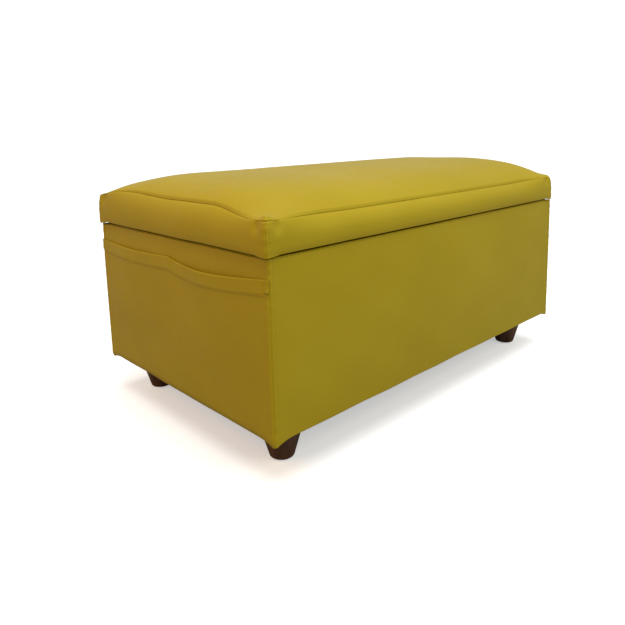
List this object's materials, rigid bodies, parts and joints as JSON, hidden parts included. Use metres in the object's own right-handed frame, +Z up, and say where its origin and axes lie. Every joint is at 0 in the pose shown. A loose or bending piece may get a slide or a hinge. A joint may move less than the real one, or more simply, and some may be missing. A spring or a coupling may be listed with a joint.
{
  "type": "storage ottoman",
  "caption": "Long upholstered ottoman with a hinged, crowned cushion lid over a lined storage box, tapered wooden feet and a magazine pocket on one end.",
  "frame": {"origin": "on the floor, under the middle of the body", "axes": "+X along the length towards the end without the pocket, +Y towards the hinged back, +Z up"},
  "size_m": [0.9142, 0.5725, 0.475],
  "materials": {
    "leatherette": "semi-matte mustard-yellow leatherette with a fine grain",
    "foam": "open-cell foam",
    "foot_wood": "dark stained and lacquered wood",
    "glide_plastic": "moulded nail-on glide",
    "lining_cloth": "charcoal lining cloth",
    "underside_cloth": "black non-woven cloth",
    "fastener_steel": "zinc plated",
    "hardware_steel": "zinc-plated sheet steel",
    "frame_wood": "bare pine and plywood"
  },
  "bodies": {
    "base": {"front_panel": "frame_wood", "back_panel": "frame_wood", "left_panel": "frame_wood", "right_panel": "frame_wood", "bottom_board": "frame_wood", "corner_post_front_left": "frame_wood", "corner_post_front_right": "frame_wood", "corner_post_back_left": "frame_wood", "corner_post_back_right": "frame_wood", "frame_screws": "fastener_steel", "foam_front": "foam", "foam_back": "foam", "foam_left": "foam", "foam_right": "foam", "cover_front": "leatherette", "cover_back": "leatherette", "cover_left": "leatherette", "cover_right": "leatherette", "side_pocket": "leatherette", "floor_panel": "frame_wood", "lining_floor": "lining_cloth", "lining_walls": "lining_cloth", "dust_cover": "underside_cloth", "foot_front_left": "foot_wood", "foot_front_right": "foot_wood", "foot_back_left": "foot_wood", "foot_back_right": "foot_wood", "foot_bolts": "fastener_steel", "tee_nuts": "fastener_steel", "foot_glides": "glide_plastic", "hinge_base_leaf_left": "hardware_steel", "hinge_base_leaf_right": "hardware_steel", "hinge_pin_left": "hardware_steel", "hinge_pin_right": "hardware_steel", "stay_base_bracket_left": "hardware_steel", "stay_base_bracket_right": "hardware_steel", "stay_base_rivets": "hardware_steel", "base_hardware_screws": "fastener_steel"},
    "lid": {"lid_board": "frame_wood", "lid_foam": "foam", "lid_top_cover": "leatherette", "lid_band_front": "leatherette", "lid_band_back": "leatherette", "lid_band_left": "leatherette", "lid_band_right": "leatherette", "lid_liner": "underside_cloth", "hinge_lid_leaf_left": "hardware_steel", "hinge_lid_leaf_right": "hardware_steel", "stay_lid_bracket_left": "hardware_steel", "stay_lid_bracket_right": "hardware_steel", "stay_lid_rivets": "hardware_steel", "lid_hardware_screws": "fastener_steel"},
    "left_lower_arm": {"stay_lower_arm_left": "hardware_steel", "stay_elbow_rivet_left": "hardware_steel"},
    "left_upper_arm": {"stay_upper_arm_left": "hardware_steel"},
    "right_lower_arm": {"stay_lower_arm_right": "hardware_steel", "stay_elbow_rivet_right": "hardware_steel"},
    "right_upper_arm": {"stay_upper_arm_right": "hardware_steel"}
  },
  "joints": [
    {"name": "lid_hinge", "type": "hinge", "parent": "base", "child": "lid", "pos_m": [0, 0.2855, 0.367], "axis": [-1, 0, 0], "range_deg": [0, 95]},
    {"name": "left_stay_pivot", "type": "hinge", "parent": "base", "child": "left_lower_arm", "pos_m": [-0.4244, 0.13206, 0.32167], "axis": [-1, 0, 0], "range_deg": [0, 95]},
    {"name": "left_stay_elbow", "type": "hinge", "parent": "left_lower_arm", "child": "left_upper_arm", "pos_m": [-0.4244, -0.02693, 0.30367], "axis": [-1, 0, 0], "range_deg": [-95, 0]},
    {"name": "right_stay_pivot", "type": "hinge", "parent": "base", "child": "right_lower_arm", "pos_m": [0.4244, 0.13206, 0.32167], "axis": [-1, 0, 0], "range_deg": [0, 95]},
    {"name": "right_stay_elbow", "type": "hinge", "parent": "right_lower_arm", "child": "right_upper_arm", "pos_m": [0.4244, -0.02693, 0.30367], "axis": [-1, 0, 0], "range_deg": [-95, 0]}
  ],
  "couplings": [
    {"joint": "left_stay_pivot", "follows": "lid_hinge", "ratio": 1},
    {"joint": "left_stay_elbow", "follows": "lid_hinge", "ratio": -1},
    {"joint": "right_stay_pivot", "follows": "lid_hinge", "ratio": 1},
    {"joint": "right_stay_elbow", "follows": "lid_hinge", "ratio": -1}
  ]
}
